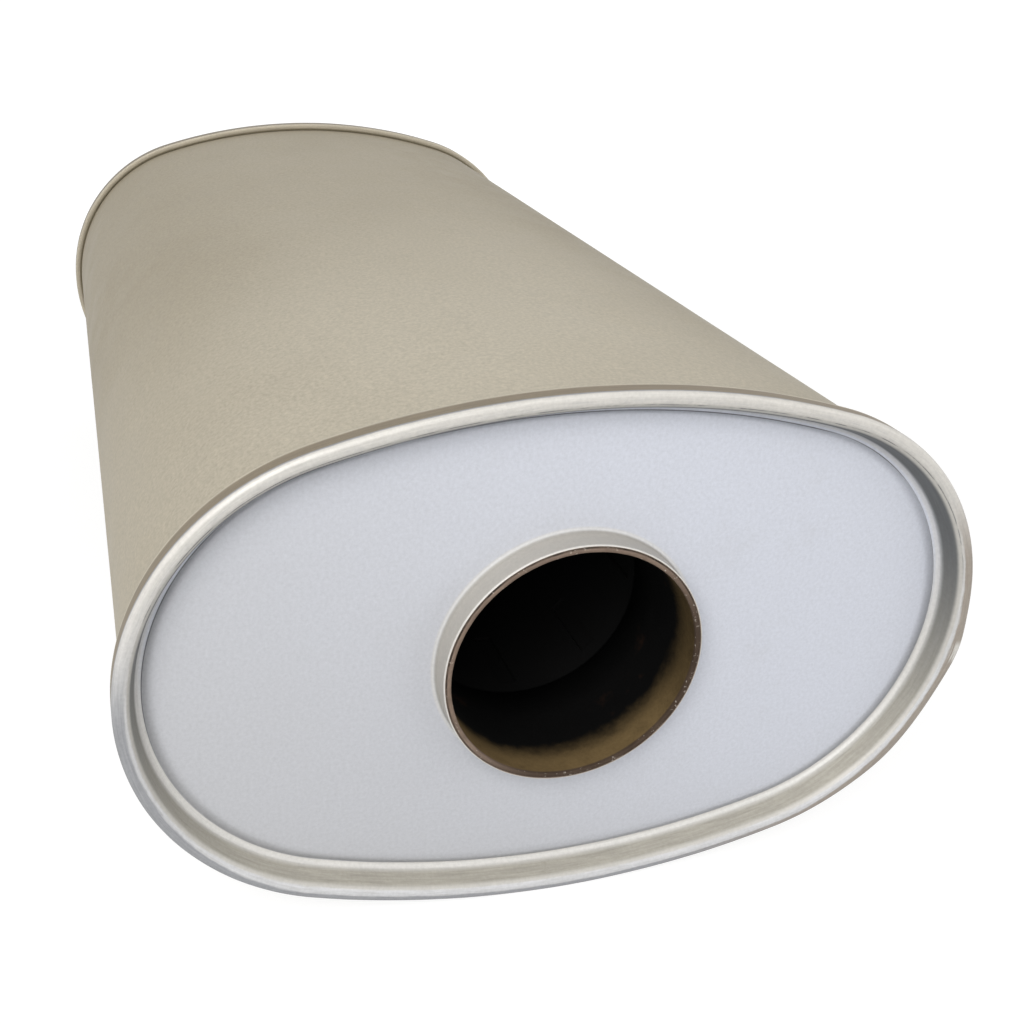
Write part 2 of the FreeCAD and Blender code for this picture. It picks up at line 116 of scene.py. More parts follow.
class Signal:
    """A node's socket that takes part in sums as a number does."""

    def __init__(self, desk: "Builder", socket: Socket) -> None:
        """Keep the socket and the builder that its nodes come from."""
        self.desk = desk
        self.socket = socket

    def math(self, operation: str, *others: Number) -> "Signal":
        """Join this value to others with one Math node."""
        return self.desk.math(operation, self, *others)

    def __add__(self, other: Number) -> "Signal":
        """Sum of the two."""
        return self.desk.math("ADD", self, other)

    def __radd__(self, other: float) -> "Signal":
        """Sum of the two."""
        return self.desk.math("ADD", other, self)

    def __sub__(self, other: Number) -> "Signal":
        """This less the other."""
        return self.desk.math("SUBTRACT", self, other)

    def __rsub__(self, other: float) -> "Signal":
        """The other less this."""
        return self.desk.math("SUBTRACT", other, self)

    def __mul__(self, other: Number) -> "Signal":
        """Product of the two."""
        return self.desk.math("MULTIPLY", self, other)

    def __rmul__(self, other: float) -> "Signal":
        """Product of the two."""
        return self.desk.math("MULTIPLY", other, self)

    def rise(self, low: float, high: float) -> "Signal":
        """Nought below low, one above high, and smooth between them.

        Args:
            low: Value at which the result leaves nought.
            high: Value at which it reaches one.

        Returns:
            The smooth step.
        """
        values = {"Value": self, "From Min": low, "From Max": high}
        node = self.desk.node("ShaderNodeMapRange", {"interpolation_type": "SMOOTHSTEP"}, values)
        return Signal(self.desk, node.outputs[0])

    def fall(self, low: float, high: float) -> "Signal":
        """One below low, nought above high, and smooth between them."""
        return 1 - self.rise(low, high)

    def band(self, start: float, end: float, soft: float) -> "Signal":
        """One between start and end, with soft edges outside them.

        Args:
            start: Value where the band is first full.
            end: Value where it is last full.
            soft: Width of each edge.

        Returns:
            The mask of the band.
        """
        return self.rise(start - soft, start) * self.fall(end, end + soft)


class Builder:
    """Adds nodes to one tree."""

    def __init__(self, tree: bpy.types.NodeTree) -> None:
        """Keep the tree.

        Args:
            tree: The tree that is built.
        """
        self.tree = tree

    def node(self, kind: str, settings: dict | None = None,
             values: dict | None = None) -> bpy.types.Node:
        """Add one node.

        Args:
            kind: Blender's name of the node's type.
            settings: Properties, set before the sockets.
            values: Numbers, colours or links by the name or number of the socket.

        Returns:
            The node.
        """
        node = self.tree.nodes.new(kind)
        for key, value in (settings or {}).items():
            setattr(node, key, value)
        for key, value in (values or {}).items():
            socket = node.inputs[key]
            source = value.socket if isinstance(value, Signal) else value
            if isinstance(source, Socket):
                self.tree.links.new(source, socket)
            elif isinstance(source, tuple) and socket.type == "RGBA":
                socket.default_value = (*source, 1.0)
            else:
                socket.default_value = source
        return node

    def math(self, operation: str, *values: Number) -> Signal:
        """Add one Math node on values or numbers."""
        node = self.node("ShaderNodeMath", {"operation": operation}, dict(enumerate(values)))
        return Signal(self, node.outputs[0])

    def seen(self) -> Signal:
        """One for rays of the camera and of mirrored views, nought for the rest."""
        path = self.node("ShaderNodeLightPath")
        seen = Signal(self, path.outputs["Is Camera Ray"])
        for ray in MIRRORED_RAYS:
            seen = seen.math("MAXIMUM", path.outputs[ray])
        return seen


class Desk(Builder):
    """Builds the node tree of one material."""

    def __init__(self, name: str) -> None:
        """Start an empty material.

        Args:
            name: Name of the material.
        """
        self.material = bpy.data.materials.new(name)
        self.material.use_nodes = True
        super().__init__(self.material.node_tree)
        self.tree.nodes.clear()
        self.places = self.node("ShaderNodeTexCoord").outputs["Object"]

    def axis(self, letter: str) -> Signal:
        """One of the object's own coordinates, in metres."""
        node = self.node("ShaderNodeSeparateXYZ", {}, {"Vector": self.places})
        return Signal(self, node.outputs[letter])

    def depth(self) -> Signal:
        """Distance behind the crest of the nearer end, in millimetres."""
        return (HALF_LENGTH - self.axis("Y").math("ABSOLUTE")) * (1 / MM)

    def radius(self) -> Signal:
        """Distance from the axis of the pipes, in millimetres."""
        across, up = self.axis("X"), self.axis("Z")
        return (across * across + up * up).math("SQRT") * (1 / MM)

    def attribute(self, name: str) -> Signal:
        """A value that the mesh carries."""
        node = self.node("ShaderNodeAttribute", {"attribute_name": name})
        return Signal(self, node.outputs["Fac"])

    def join(self, *values: Number) -> Socket:
        """Three values as one vector."""
        return self.node("ShaderNodeCombineXYZ", {}, dict(enumerate(values))).outputs[0]

    def noise(self, scale: float, detail: float = 2.0, rough: float = 0.5,
              where: Socket | None = None, seed: float = 0.0) -> Signal:
        """Noise about one half.

        Args:
            scale: Features in a metre.
            detail: Finer layers added.
            rough: Weight of the finer layers.
            where: Vector to read, the object's coordinates where none is given.
            seed: Which of the noises to take.

        Returns:
            The noise.
        """
        values = {"Vector": where or self.places, "W": seed, "Scale": scale,
                  "Detail": detail, "Roughness": rough}
        node = self.node("ShaderNodeTexNoise", {"noise_dimensions": "4D"}, values)
        return Signal(self, node.outputs[0])

    def blend(self, factor: Number, under: object, over: object) -> Socket:
        """Mix two colours.

        Args:
            factor: Share of the upper colour.
            under: Colour or link where the factor is nought.
            over: Colour or link where it is one.

        Returns:
            The mixed colour.
        """
        settings = {"data_type": "RGBA", "clamp_factor": True}
        return self.node("ShaderNodeMix", settings, {0: factor, 6: under, 7: over}).outputs[2]

    def shade(self, colour: object, factor: Signal) -> Socket:
        """Brighten or darken a colour by a factor about one."""
        grey = self.join(factor, factor, factor)
        return self.node("ShaderNodeMix", {"data_type": "RGBA", "blend_type": "MULTIPLY"},
                         {0: 1.0, 6: colour, 7: grey}).outputs[2]

    def finish(self, colour: object, roughness: Number, metallic: Number,
               height: Signal, depth: float, gloss: float = 0.5) -> Material:
        """Close the tree with one surface shader.

        Args:
            colour: Base colour or link.
            roughness: Roughness or signal.
            metallic: Share of metal or signal.
            height: Height of the fine relief.
            depth: Metres of relief for a height of one.
            gloss: Strength of the surface's own reflection, one half for a plain one.

        Returns:
            The finished material.
        """
        bump = self.node("ShaderNodeBump", {},
                         {"Strength": 1.0, "Distance": depth, "Height": height})
        values = {"Base Color": colour, "Roughness": roughness, "Metallic": metallic,
                  "Specular IOR Level": gloss, "Normal": bump.outputs[0]}
        shader = self.node("ShaderNodeBsdfPrincipled", {}, values)
        self.node("ShaderNodeOutputMaterial", {}, {"Surface": shader.outputs[0]})
        return self.material


# Finishes


@dataclass(frozen=True)
class ShellFinish:
    """Satin aluminised sheet with a warm tan tone, soft clouds and a fine grain, and painted light:
    paler towards the inlet end, darker on the flanks, with a painted shade behind each seam.
    """

    name: str = "shell_sheet"
    warm: Colour = (0.350, 0.308, 0.228)
    pale: Colour = (0.470, 0.428, 0.342)
    grime: Colour = (0.120, 0.100, 0.070)
    metallic: float = 0.25
    relief: float = 0.06 * MM
    gloss: float = 0.3

    def make(self) -> Material:
        """Build the material."""
        desk = Desk(self.name)
        cloud = desk.noise(5, 3, 0.55).rise(0.36, 0.66)
        mottle = desk.noise(45, 4, 0.6, seed=2).rise(0.3, 0.7)
        grain = desk.noise(600, 3, 0.7, seed=4)
        across = desk.axis("X")
        # Painted light and shade: paler towards the inlet end and darker on both flanks, most on
        # the right one.
        flank_shade = 0.6 * across.rise(0.02, 0.12) + 0.35 * across.fall(-0.15, -0.05)
        near = desk.axis("Y").fall(-0.28, 0.12) - flank_shade
        colour = desk.blend(cloud * 0.25 + mottle * 0.15 + near * 0.75, self.warm, self.pale)
        # Real grain, with a further painted shade on the right flank.
        colour = desk.shade(colour, (0.62 + 0.76 * grain) * (1 - 0.16 * across.rise(0.06, 0.15)))
        # Painted shade: a dark brown band on the shell just behind each seam, made patchy by noise.
        corner = desk.depth().fall(9.8, 12.5) * (0.6 + 0.4 * desk.noise(160, 3, seed=6))
        colour = desk.blend(corner * 0.8, colour, self.grime)
        roughness = 0.52 + 0.1 * mottle + 0.12 * (grain - 0.5)
        height = grain + 0.4 * mottle
        return desk.finish(colour, roughness, self.metallic, height, self.relief, self.gloss)


@dataclass(frozen=True)
class CapFinish:
    """The same sheet pressed and rolled: a pale face whose cool tint is a painted reflection, bends
    and crest made bright with painted highlights, painted shade in creases and on faces turned
    down, and a smoother burnished crest.
    """

    name: str = "cap_pressing"
    # Painted reflection: the cool blue-white face stands in for a cool sky mirrored in the same
    # sheet as the shell.
    face: Colour = (0.590, 0.612, 0.676)
    face_dull: Colour = (0.496, 0.504, 0.528)
    band: Colour = (0.590, 0.580, 0.555)
    wall: Colour = (0.370, 0.350, 0.300)
    wall_high: Colour = (0.125, 0.130, 0.130)
    inner_edge: Colour = (0.480, 0.465, 0.430)
    rolled: Colour = (0.440, 0.435, 0.425)
    crest: Colour = (0.582, 0.564, 0.528)
    crest_low: Colour = (0.560, 0.562, 0.570)
    shoulder: Colour = (0.300, 0.305, 0.318)
    shoulder_right: Colour = (0.315, 0.278, 0.238)
    hem_end: Colour = (0.480, 0.435, 0.345)
    hollow: Colour = (0.320, 0.280, 0.195)
    hem: Colour = (0.205, 0.168, 0.115)
    hem_low: Colour = (0.280, 0.285, 0.300)
    line: Colour = (0.110, 0.110, 0.120)
    collar: Colour = (0.415, 0.395, 0.358)
    lip: Colour = (0.610, 0.595, 0.560)
    brown: Colour = (0.200, 0.150, 0.115)
    metallic: float = 0.2
    relief: float = 0.07 * MM

    def dress_face(self, desk: Desk) -> Socket:
        """Colour of the flat panel and of the collar turned out of it.

        Args:
            desk: The material's desk.

        Returns:
            The colour.
        """
        depth, radius, across, up = desk.depth(), desk.radius(), desk.axis("X"), desk.axis("Z")
        cloud = desk.noise(9, 5, 0.6, seed=1) - 0.5
        # Painted shade: the face turns to the duller grey towards the lower left.
        cool = ((across + up * 0.8) * (1 / MM) + 90 * cloud).rise(-190, 130)
        colour = desk.blend(cool, self.face_dull, self.face)
        # Real smears of the same duller grey.
        smear = desk.noise(38, 4, 0.65, seed=9).rise(0.52, 0.78)
        colour = desk.blend(smear * 0.25, colour, self.face_dull)
        # Painted highlight: a pale cream ring on the round at the collar's foot.
        near = radius.fall(55.4, 56.6)
        colour = desk.blend(near * 0.7, colour, self.band)
        colour = desk.blend(radius.fall(54.3, 55.0), colour, self.collar)
        # Painted shade: darker in the crease where the collar meets the panel.
        crease = radius.fall(54.5, 55.4) * depth.rise(9.2, 10.9)
        colour = desk.blend(crease * 0.3, colour, self.line)
        # Painted highlight: a bright line on the outer edge of the collar's lip.
        lip = radius.fall(54.0, 54.1) * depth.fall(0.5, 0.9)
        colour = desk.blend(lip, colour, self.lip)
        return desk.blend(radius.fall(53.42, 53.52) * depth.fall(0.5, 0.9), colour, self.brown)

    def make(self) -> Material:
        """Build the material."""
        desk = Desk(self.name)
        inset, along, depth = desk.attribute("inset"), desk.attribute("along"), desk.depth()
        up, across = desk.axis("Z") * (1 / MM), desk.axis("X") * (1 / MM)
        high = up.rise(-30, 70)
        low = 1 - high
        grain = desk.noise(650, 3, 0.7, seed=3)
        drawn = desk.join(along * 60, inset * 1.6, depth * 0.8)
        streaks = desk.noise(1, 4, 0.65, where=drawn, seed=5)
        spread = desk.join(along * 110, inset * 0.8, depth * 0.6)
        blots = desk.noise(1, 3, 0.6, where=spread, seed=7)
        rough = 0.6 + 0.8 * streaks
        colour = self.dress_face(desk)
        # Painted shade: the panel darkens towards its rim, mostly over the lower part.
        foot = inset.fall(12.2, 17.5) * (0.1 + 0.9 * low)
        colour = desk.shade(colour, 1 - 0.17 * foot)
        # Painted highlight: the round between wall and panel in pale cream, turning to the panel's
        # tone over the upper part, streaked.
        paler = up.rise(-20, 50) * (0.45 + 0.55 * inset.rise(9.7, 10.5))
        fillet = desk.shade(desk.blend(paler, self.band, self.face), 0.85 + 0.3 * streaks)
        colour = desk.blend(inset.fall(11.05, 11.2), colour, fillet)
        # A dark line along the panel's step, patchy, on the upper part only.
        patchy = 0.35 + 0.65 * desk.noise(25, 2, seed=8).rise(0.35, 0.55)
        step_line = inset.band(11.15, 11.45, 0.1) * patchy * up.rise(-60, 10)
        colour = desk.blend(step_line * 0.85, colour, self.line)
        # Painted shade: the wall goes from tan below to dark grey over the upper part, where it
        # faces down.
        wall = desk.blend((up + 40 * (streaks - 0.5)).rise(-80, 50), self.wall, self.wall_high)
        colour = desk.blend(inset.fall(8.3, 9.1), colour, desk.shade(wall, rough))
        # Painted highlight: a paler band on the crest's inner turn, wider over the lower part.
        colour = desk.blend((inset - 0.5 * low).fall(5.7, 6.7), colour, self.inner_edge)
        scratch = inset.band(4.95, 5.15, 0.15) * blots.rise(0.42, 0.56) * high
        colour = desk.blend(scratch * 0.8, colour, self.line)
        # Painted highlight and reflection: the crest bright cream over the upper part and bluish
        # white over the lower part, with real grey roller marks.
        shine = (inset + 0.8 * (blots - 0.5) - 1.1 * low).fall(4.2, 5.0)
        crest = desk.blend(low, self.crest, self.crest_low)
        crest = desk.blend(blots.rise(0.42, 0.72) * inset.rise(1.8, 3.0) * 0.5, crest, self.rolled)
        colour = desk.blend(shine, colour, desk.shade(crest, 0.8 + 0.4 * streaks))
        # Painted shade: the crest's outer shoulder in dark blue-grey, browner on the right, widened
        # over the lower part where it faces down.
        ragged = depth + 1.1 * (blots - 0.5) - inset * 0.55
        side = ragged.rise(1.2, 1.9) * inset.fall(1.9, 2.4)
        flank = across.math("ABSOLUTE").rise(110, 165) * 1.3
        turned = (inset + 1.8 * (blots - 0.5) - flank).fall(2.6, 3.5)
        turned = turned * (up - 0.1 * across).fall(10, 50)
        shoulder = desk.blend(across.rise(40, 140), self.shoulder, self.shoulder_right)
        colour = desk.blend(side.math("MAXIMUM", turned), colour, desk.shade(shoulder, rough))
        # Painted reflection: the hem's tan turns to a cool grey over the lower part, where it faces
        # down.
        hem = (depth + 0.8 * (streaks - 0.5)).rise(1.9, 2.9) * inset.fall(1.2, 1.6)
        tan = desk.blend((up + 60 * (streaks - 0.5)).rise(-40, 20), self.hem_low, self.hem)
        colour = desk.blend(hem, colour, desk.shade(tan, rough))
        back = depth.rise(7.2, 8.6) * inset.fall(6.0, 6.5)
        colour = desk.blend(back, colour, desk.shade(self.hem_end, rough))
        # Painted shade: darker where the back of the seam meets the shell.
        colour = desk.blend(back * inset.rise(2.6, 3.6), colour, self.hollow)
        inlet = desk.axis("Y").fall(-0.1, 0.1)
        scuff = along.band(0.221, 0.226, 0.004) * inset.fall(2.5, 4.5) * inlet
        colour = desk.blend(scuff * streaks.rise(0.4, 0.55), colour, self.lip)
        colour = desk.shade(colour, 0.82 + 0.36 * grain)
        rim = inset.fall(9.3, 10.0)
        burnished = inset.fall(5.3, 6.9)
        roughness = 0.56 - 0.04 * burnished + 0.14 * (streaks - 0.5) + 0.1 * (grain - 0.5)
        height = grain * 0.6 + streaks * rim * 2 + blots * burnished * 1.5
        return desk.finish(colour, roughness, self.metallic, height, self.relief)


@dataclass(frozen=True)
class NeckFinish:
    """Pipe browned by heat, its inside fading to near black, partly real sooting and partly painted
    shade.
    """

    name: str = "neck_pipe"
    ring: Colour = (0.200, 0.148, 0.115)
    ring_low: Colour = (0.062, 0.043, 0.031)
    dark: Colour = (0.045, 0.036, 0.030)
    wall: Colour = (0.155, 0.106, 0.048)
    soot: Colour = (0.0030, 0.0030, 0.0030)
    rust: Colour = (0.110, 0.045, 0.020)
    fleck: Colour = (0.560, 0.500, 0.440)
    metallic: float = 0.1
    relief: float = 0.1 * MM
    gloss: float = 0.08

    def make(self) -> Material:
        """Build the material."""
        desk = Desk(self.name)
        depth, radius, across, up = desk.depth(), desk.radius(), desk.axis("X"), desk.axis("Z")
        rust = desk.noise(120, 4, 0.6)
        fine = desk.noise(700, 3, 0.6, seed=3)
        # Painted shade: the end ring darker towards the lower right, made uneven by noise.
        turned = ((across - up) * (1 / MM) + 40 * (rust - 0.5)).rise(-15, 45)
        colour = desk.shade(desk.blend(turned, self.ring, self.ring_low), 0.3 + 1.4 * rust)
        edge = radius.rise(52.55, 52.85) * (0.35 + 0.65 * rust.rise(0.4, 0.6))
        colour = desk.blend(edge, colour, self.dark)
        flecks = fine.rise(0.6, 0.7) * depth.fall(0.1, 0.8)
        colour = desk.blend(flecks * 0.6, colour, self.fleck)
        # The inner wall's olive brown is partly heat tint and partly painted shade; it darkens
        # further towards the upper right as painted shade.
        inner_upper_right_shade = ((across + up) * (1 / MM)).rise(0, 50)
        inner = desk.shade(self.wall, (0.3 + 0.9 * rust + 0.5 * fine) * (1 - 0.5 * inner_upper_right_shade))
        colour = desk.blend(depth.rise(0.5, 1.8), colour, inner)
        # Painted shade and real sooting: the inner wall fades to near black a little way in, with a
        # ragged edge.
        fade = (depth + (rust - 0.5) * 12).rise(6, 20)
        colour = desk.blend(fade, colour, self.soot)
        speck = desk.noise(60, 3, 0.6, seed=12).rise(0.6, 0.72)
        speck = speck * depth.rise(16, 24) * depth.fall(40, 52)
        colour = desk.blend(speck * 0.1, colour, self.rust)
        roughness = 0.6 + 0.25 * rust
        return desk.finish(colour, roughness, self.metallic, rust + fine, self.relief, self.gloss)


@dataclass(frozen=True)
class PlainFinish:
    """A plain hidden surface: one tone with a little mottling and grain."""

    name: str
    tone: Colour
    grain: float = 400.0
    roughness: float = 0.6
    metallic: float = 0.4
    gloss: float = 0.5
    relief: float = 0.1 * MM

    def make(self) -> Material:
        """Build the material."""
        desk = Desk(self.name)
        mottle = desk.noise(30, 3, 0.6)
        grain = desk.noise(self.grain, 2, 0.6, seed=2)
        colour = desk.shade(self.tone, 0.7 + 0.4 * mottle + 0.2 * grain)
        roughness = self.roughness + 0.1 * (grain - 0.5)
        return desk.finish(colour, roughness, self.metallic, grain, self.relief, self.gloss)


# Geometry Nodes


class Tree(Builder):
    """Builds one Geometry Nodes tree with named inputs."""

    def __init__(self, name: str) -> None:
        """Start a tree with a geometry at each side.

        Args:
            name: Name of the tree.
        """
        super().__init__(bpy.data.node_groups.new(name, "GeometryNodeTree"))
        self.face = self.tree.interface
        self.face.new_socket("Geometry", in_out="OUTPUT", socket_type="NodeSocketGeometry")
        self.keys: dict[str, str] = {}
        self.entry = self.tree.nodes.new("NodeGroupInput")
        self.leave = self.tree.nodes.new("NodeGroupOutput")
        self.add_inputs({"Rail": "Geometry"})

    def add_inputs(self, kinds: dict[str, str]) -> list[Socket]:
        """Add named inputs.

        Args:
            kinds: Type of each input's socket by the name of the input.

        Returns:
            The sockets that give their values inside the tree.
        """
        for name, kind in kinds.items():
            socket = self.face.new_socket(name, in_out="INPUT", socket_type=f"NodeSocket{kind}")
            self.keys[name] = socket.identifier
        return [self.entry.outputs[name] for name in kinds]

    def close(self, geometry: Socket, material: Socket) -> None:
        """End the tree in real geometry with its material.

        Args:
            geometry: What the tree has made.
            material: The material's input.
        """
        real = self.node("GeometryNodeRealizeInstances", {}, {0: geometry}).outputs[0]
        dressed = self.node("GeometryNodeSetMaterial", {}, {"Geometry": real, "Material": material})
        self.tree.links.new(dressed.outputs[0], self.leave.inputs[0])

    def grow(self, name: str, rail: Item, values: dict) -> Item:
        """Run the tree on a rail and keep the result as a plain mesh.

        Args:
            name: Name of the new piece.
            rail: Object that the tree starts from. It is removed.
            values: Values of the inputs by name.

        Returns:
            The new piece.
        """
        modifier = rail.modifiers.new("build", "NODES")
        modifier.node_group = self.tree
        for key, value in values.items():
            modifier[self.keys[key]] = value
        bpy.context.view_layer.update()
        graph = bpy.context.evaluated_depsgraph_get()
        mesh = bpy.data.meshes.new_from_object(rail.evaluated_get(graph), depsgraph=graph)
        mesh.name = name
        piece = show(name, mesh)
        bpy.data.objects.remove(rail)
        return piece


def polyline(name: str, points: Sequence[Plane], closed: bool) -> Item:
    """A flat curve of straight runs.

    Args:
        name: Name of the curve.
        points: Its points, in metres.
        closed: Whether the last runs back to the first.

    Returns:
        The curve's object.
    """
    curve = bpy.data.curves.new(name, "CURVE")
    curve.dimensions = "3D"
    spline = curve.splines.new("POLY")
    spline.points.add(len(points) - 1)
    for point, (across, up) in zip(spline.points, points):
        point.co = (across, up, 0.0, 1.0)
    spline.use_cyclic_u = closed
    return show(name, curve)


def sweep_tree() -> Tree:
    """A tree that carries a section round a rail.

    The section's first axis is the way outwards from the rail and its second is the depth, in
    metres. The mesh keeps the inset in millimetres and the length along the rail in metres.

    Returns:
        The tree.
    """
    tree = Tree("sweep_round")
    kinds = {"Section": "Object", "Material": "Material", "Waviness": "Float",
             "Wave Scale": "Float", "Seed": "Float"}
    section, material, waviness, wave_scale, seed = tree.add_inputs(kinds)
    span = tree.node("GeometryNodeSplineParameter").outputs["Length"]
    store = {"data_type": "FLOAT", "domain": "POINT"}
    rail = tree.node("GeometryNodeStoreNamedAttribute", store,
                     {"Geometry": tree.entry.outputs["Rail"], "Name": "along", "Value": span})
    profile = tree.node("GeometryNodeObjectInfo", {}, {"Object": section}).outputs["Geometry"]
    place = tree.node("GeometryNodeInputPosition").outputs[0]
    inset = tree.node("ShaderNodeSeparateXYZ", {}, {0: place}).outputs["X"]
    inset = Signal(tree, inset) * (-1 / MM)
    profile = tree.node("GeometryNodeStoreNamedAttribute", store,
                        {"Geometry": profile, "Name": "inset", "Value": inset})
    skin = tree.node("GeometryNodeCurveToMesh", {},
                     {"Curve": rail.outputs[0], "Profile Curve": profile.outputs[0]}).outputs[0]
    turned = tree.node("GeometryNodeTransform", {},
                       {"Geometry": skin, "Rotation": (math.pi / 2, 0, 0)})
    noise = tree.node("ShaderNodeTexNoise", {"noise_dimensions": "4D"},
                      {"Scale": wave_scale, "W": seed, "Detail": 2.0}).outputs[0]
    swing = (Signal(tree, noise) - 0.5) * waviness
    normal = tree.node("GeometryNodeInputNormal").outputs[0]
    offset = tree.node("ShaderNodeVectorMath", {"operation": "SCALE"}, {0: normal, "Scale": swing})
    waved = tree.node("GeometryNodeSetPosition", {},
                      {"Geometry": turned.outputs[0], "Offset": offset.outputs[0]})
    smooth = tree.node("GeometryNodeSetShadeSmooth", {}, {"Geometry": waved.outputs[0]})
    tree.close(smooth.outputs[0], material)
    return tree


def ripple_tree() -> Tree:
    """A tree that lays ripples end to end along a rail, each turned and sized a little by chance.

    Returns:
        The tree.
    """
    tree = Tree("ripples_along")
    kinds = {"Ripple": "Object", "Material": "Material", "Pitch": "Float", "Seed": "Int"}
    ripple, material, pitch, seed = tree.add_inputs(kinds)
    places = tree.node("GeometryNodeCurveToPoints", {"mode": "LENGTH"},
                       {"Curve": tree.entry.outputs["Rail"], "Length": pitch}).outputs["Points"]
    shape = tree.node("GeometryNodeObjectInfo", {}, {"Object": ripple}).outputs["Geometry"]
    swing = tree.node("FunctionNodeRandomValue", {"data_type": "FLOAT_VECTOR"},
                      {"Min": (-0.03, -0.03, -0.2), "Max": (0.03, 0.03, 0.2), "Seed": seed})
    growth = tree.node("FunctionNodeRandomValue", {"data_type": "FLOAT_VECTOR"},
                       {"Min": (0.85, 0.9, 0.8), "Max": (1.0, 1.1, 1.0), "Seed": seed})
    values = {"Points": places, "Instance": shape,
              "Rotation": swing.outputs[0], "Scale": growth.outputs[0]}
    beads = tree.node("GeometryNodeInstanceOnPoints", {}, values)
    smooth = tree.node("GeometryNodeSetShadeSmooth", {}, {"Geometry": beads.outputs[0]})
    tree.close(smooth.outputs[0], material)
    return tree


# Shapes


@dataclass(frozen=True)
class Oval:
    """The four-arc outline over the end seams, in metres."""

    half_width: float = 178.3 * MM
    half_height: float = 114.3 * MM
    long_radius: float = 364.3 * MM

    @property
    def end_radius(self) -> float:
        """Radius of the two end arcs, which run smoothly into the long ones."""
        drop = self.long_radius - self.half_height
        spare = self.long_radius**2 - drop**2 - self.half_width**2
        return spare / (2 * (self.long_radius - self.half_width))

    @property
    def reach(self) -> float:
        """Distance from the middle to the centre of an end arc."""
        return self.half_width - self.end_radius

    def arcs(self) -> list[tuple[float, float, float, float, float]]:
        """The arcs from the bottom middle round by the right side.

        Returns:
            Centre across, centre up, radius, first angle and last angle of each.
        """
        drop, end, reach = self.long_radius - self.half_height, self.end_radius, self.reach
        turn = math.atan2(drop, reach)
        half = math.pi / 2
        return [
            (0.0, drop, self.long_radius, -half, -turn),
            (reach, 0.0, end, -turn, turn),
            (0.0, -drop, self.long_radius, turn, math.pi - turn),
            (-reach, 0.0, end, math.pi - turn, math.pi + turn),
            (0.0, drop, self.long_radius, math.pi + turn, 3 * half),
        ]

    def points(self, inset: float, count: int) -> np.ndarray:
        """Points round the outline, inset by a distance and the same angle apart on each arc.

        Args:
            inset: Distance inside the outline.
            count: Number of points, shared out by the length of each arc.

        Returns:
            Rows of X and Z.
        """
        arcs = self.arcs()
        lengths = [radius * (last - first) for _, _, radius, first, last in arcs]
        rows = []
        for (across, up, radius, first, last), length in zip(arcs, lengths):
            steps = max(4, round(count * length / sum(lengths)))
            for angle in np.linspace(first, last, steps, endpoint=False):
                reach = radius - inset
                rows.append((across + reach * math.cos(angle), up + reach * math.sin(angle)))
        return np.array(rows)


@dataclass(frozen=True)
class Wave:
    """Waviness of a sheet: its height, how many to the metre and which."""

    height: float
    scale: float
    seed: float


def sweep(tree: Tree, name: str, outline: np.ndarray, section: Sequence[Plane],
          material: Material, wave: Wave) -> Item:
    """Carry a closed section round an outline.

    Args:
        tree: The sweeping tree.
        name: Name of the new piece.
        outline: Rows of X and Z that the section goes round.
        section: Inset and depth of the section's points.
        material: The finish.
        wave: How the sheet waves.

    Returns:
        The new piece.
    """
    rail = polyline("rail", [tuple(row) for row in outline], True)
    profile = polyline("section", [(-inset, depth) for inset, depth in section], True)
    values = {"Section": profile, "Material": material, "Waviness": wave.height,
              "Wave Scale": wave.scale, "Seed": wave.seed}
    piece = tree.grow(name, rail, values)
    bpy.data.objects.remove(profile)
    return piece


def arc_points(centre: Plane, radius: float, first: float, last: float, steps: int) -> list[Plane]:
    """Points on an arc, both ends among them.

    Args:
        centre: Middle of the arc.
        radius: Its radius.
        first: First angle in degrees.
        last: Last angle in degrees.
        steps: Number of runs between the ends.

    Returns:
        The points.
    """
    turns = np.radians(np.linspace(first, last, steps + 1))
    return [(centre[0] + radius * math.cos(t), centre[1] + radius * math.sin(t)) for t in turns]


def keep_mesh(name: str, points: np.ndarray, faces: Iterable[Sequence[int]],
              material: Material,
              values: dict[str, np.ndarray] | None = None) -> Item:
    """Make a smooth piece from points and faces.

    Args:
        name: Name of the piece.
        points: Rows of X, Y and Z in metres.
        faces: Numbers of the points of each face.
        material: The finish.
        values: Values that the points carry, by name.

    Returns:
        The new object.
    """
    mesh = bpy.data.meshes.new(name)
    mesh.from_pydata([tuple(row) for row in points], [], [tuple(face) for face in faces])
    mesh.polygons.foreach_set("use_smooth", [True] * len(mesh.polygons))
    for key, numbers in (values or {}).items():
        carried = mesh.attributes.new(key, "FLOAT", "POINT")
        carried.data.foreach_set("value", np.asarray(numbers, np.float32))
    mesh.materials.append(material)
    mesh.update()
    return show(name, mesh)


def ring_faces(columns: int, rows: int, closed: bool, flip: bool) -> list[tuple[int, ...]]:
    """Faces of a skin whose rows of points go round a ring.

    Args:
        columns: Points in a row.
        rows: Number of rows.
        closed: Whether the last row joins the first.
        flip: Whether the faces are turned over.

    Returns:
        The faces.
    """
    faces = []
    for row in range(rows if closed else rows - 1):
        for column in range(columns):
            right = (column + 1) % columns
            up = (row + 1) % rows
            low, high = row * columns, up * columns
            face = (low + column, low + right, high + right, high + column)
            faces.append(face[::-1] if flip else face)
    return faces


